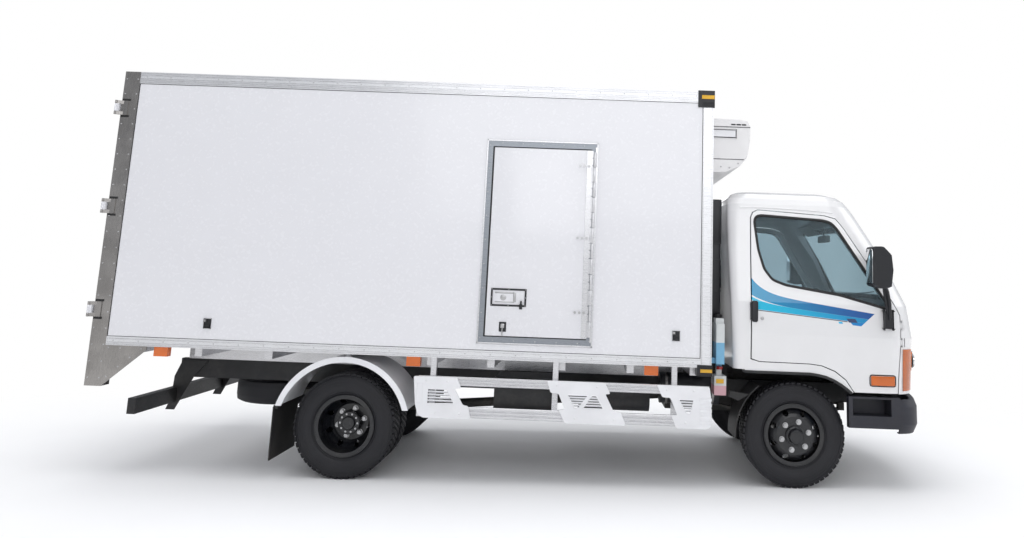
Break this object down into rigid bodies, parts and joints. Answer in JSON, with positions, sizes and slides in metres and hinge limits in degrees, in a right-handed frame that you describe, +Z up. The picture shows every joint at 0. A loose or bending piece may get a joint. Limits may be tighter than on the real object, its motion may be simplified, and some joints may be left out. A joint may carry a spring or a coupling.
{
  "type": "refrigerated truck",
  "caption": "Light cab-over delivery truck with an insulated box, side door, back doors and a front refrigeration unit; wheels roll and steer, the doors open and the cab tilts",
  "frame": {"origin": "bottom centre of the overall box, on the ground", "axes": "+X forward, +Y to the truck's left, +Z up"},
  "size_m": [6.466, 2.46, 3.0756],
  "materials": {
    "white_panel": "gloss white laminate",
    "white_cab": "gloss white paint",
    "aluminium": "anodised extrusion",
    "stainless": "brushed",
    "black_plastic": "grained",
    "dark_plastic": "grained dark grey",
    "chassis_black": "satin black",
    "cast": "as cast",
    "tyre": "moulded rubber",
    "rim_black": "satin black paint",
    "rubber": "matt",
    "glass": "tinted",
    "amber": "clear amber lens",
    "fridge_white": "moulded white",
    "fabric": "woven seat cloth",
    "bottle": "translucent"
  },
  "bodies": {
    "chassis": {"chassis_frame": "chassis_black", "front_axle": "cast", "rear_axle": "cast", "leaf_springs": "chassis_black", "engine": "cast", "fuel_tank": "chassis_black", "battery_box": "black_plastic", "exhaust": "stainless", "fluid_bottles": "bottle", "air_cleaner": "black_plastic", "spare_wheel": "tyre", "rear_underrun": "stainless", "mudguards": "white_panel", "mud_flaps": "rubber", "side_guards": "aluminium", "skirt_panels": "white_panel", "box_floor": "aluminium", "box_wall_left": "white_panel", "box_wall_right": "white_panel", "box_wall_front": "white_panel", "box_roof": "white_panel", "box_rails": "aluminium", "corner_caps": "black_plastic", "rear_frame": "stainless", "box_lamps": "amber", "fridge_unit": "fridge_white", "box_hinges": "stainless", "front_bumper": "dark_plastic"},
    "cab": {"cab_roof": "white_cab", "cab_rear": "white_cab", "cab_front": "white_cab", "cab_glass": "glass", "cab_floor": "chassis_black", "dashboard": "dark_plastic", "seats": "fabric", "cab_lamps": "amber"},
    "door_left": {"cab_door_left": "white_cab", "door_glass_left": "glass", "mirror_left": "black_plastic"},
    "door_right": {"cab_door_right": "white_cab", "door_glass_right": "glass", "mirror_right": "black_plastic"},
    "side_door_leaf": {"side_door": "white_panel"},
    "back_door_left": {"rear_door_left": "white_panel", "rear_locks_left": "stainless"},
    "back_door_right": {"rear_door_right": "white_panel", "rear_locks_right": "stainless"},
    "steer_knuckle_left": {"knuckle_left": "cast"},
    "steer_knuckle_right": {"knuckle_right": "cast"},
    "track_rod": {"tie_rod": "chassis_black"},
    "hand_wheel": {"steering_wheel": "black_plastic"},
    "wheel_front_left": {"front_tyre_left": "tyre", "front_rim_left": "rim_black"},
    "wheel_front_right": {"front_tyre_right": "tyre", "front_rim_right": "rim_black"},
    "wheel_rear_left": {"rear_tyres_left": "tyre", "rear_rims_left": "rim_black"},
    "wheel_rear_right": {"rear_tyres_right": "tyre", "rear_rims_right": "rim_black"}
  },
  "joints": [
    {"name": "cab_tilt", "type": "hinge", "parent": "chassis", "child": "cab", "pos_m": [3.15633, 0, 0.67766], "axis": [0, 1, 0], "range_deg": [0, 45]},
    {"name": "cab_door_left_swing", "type": "hinge", "parent": "cab", "child": "door_left", "pos_m": [2.95969, 0.972, 1.11107], "axis": [-0.017, 0, -0.9999], "range_deg": [0, 60]},
    {"name": "cab_door_right_swing", "type": "hinge", "parent": "cab", "child": "door_right", "pos_m": [2.95969, -0.972, 1.11107], "axis": [0.017, 0, 0.9999], "range_deg": [0, 60]},
    {"name": "side_door_swing", "type": "hinge", "parent": "chassis", "child": "side_door_leaf", "pos_m": [0.57993, -1.08, 1.7917], "axis": [0.017, 0, 0.9999], "range_deg": [0, 175]},
    {"name": "rear_door_left_swing", "type": "hinge", "parent": "chassis", "child": "back_door_left", "pos_m": [-3.20805, 1.082, 2.00126], "axis": [-0.017, 0, -0.9999], "range_deg": [0, 270]},
    {"name": "rear_door_right_swing", "type": "hinge", "parent": "chassis", "child": "back_door_right", "pos_m": [-3.20805, -1.082, 2.00126], "axis": [0.017, 0, 0.9999], "range_deg": [0, 270]},
    {"name": "steer_left", "type": "hinge", "parent": "chassis", "child": "steer_knuckle_left", "pos_m": [2.13067, 0.69, 0.383], "axis": [0.017, 0, 0.9999], "range_deg": [-33, 33]},
    {"name": "steer_right", "type": "hinge", "parent": "chassis", "child": "steer_knuckle_right", "pos_m": [2.13067, -0.69, 0.383], "axis": [0.017, 0, 0.9999], "range_deg": [-33, 33]},
    {"name": "track_rod_swing", "type": "hinge", "parent": "steer_knuckle_left", "child": "track_rod", "pos_m": [1.9795, 0.69, 0.31557], "axis": [0.017, 0, 0.9999], "range_deg": [-33, 33]},
    {"name": "hand_wheel_turn", "type": "hinge", "parent": "cab", "child": "hand_wheel", "pos_m": [2.57732, 0.47, 1.32761], "axis": [-0.6021, 0, 0.7984], "range_deg": [-495, 495]},
    {"name": "wheel_front_left_spin", "type": "hinge", "parent": "steer_knuckle_left", "child": "wheel_front_left", "pos_m": [2.13067, 0.825, 0.383], "axis": [0, 1, 0], "continuous": true},
    {"name": "wheel_front_right_spin", "type": "hinge", "parent": "steer_knuckle_right", "child": "wheel_front_right", "pos_m": [2.13067, -0.825, 0.383], "axis": [0, 1, 0], "continuous": true},
    {"name": "wheel_rear_left_spin", "type": "hinge", "parent": "chassis", "child": "wheel_rear_left", "pos_m": [-1.26933, 0.742, 0.383], "axis": [0, 1, 0], "continuous": true},
    {"name": "wheel_rear_right_spin", "type": "hinge", "parent": "chassis", "child": "wheel_rear_right", "pos_m": [-1.26933, -0.742, 0.383], "axis": [0, 1, 0], "continuous": true}
  ],
  "couplings": [
    {"joint": "steer_right", "follows": "steer_left", "ratio": 1},
    {"joint": "track_rod_swing", "follows": "steer_left", "ratio": -1},
    {"joint": "hand_wheel_turn", "follows": "steer_left", "ratio": 15}
  ]
}
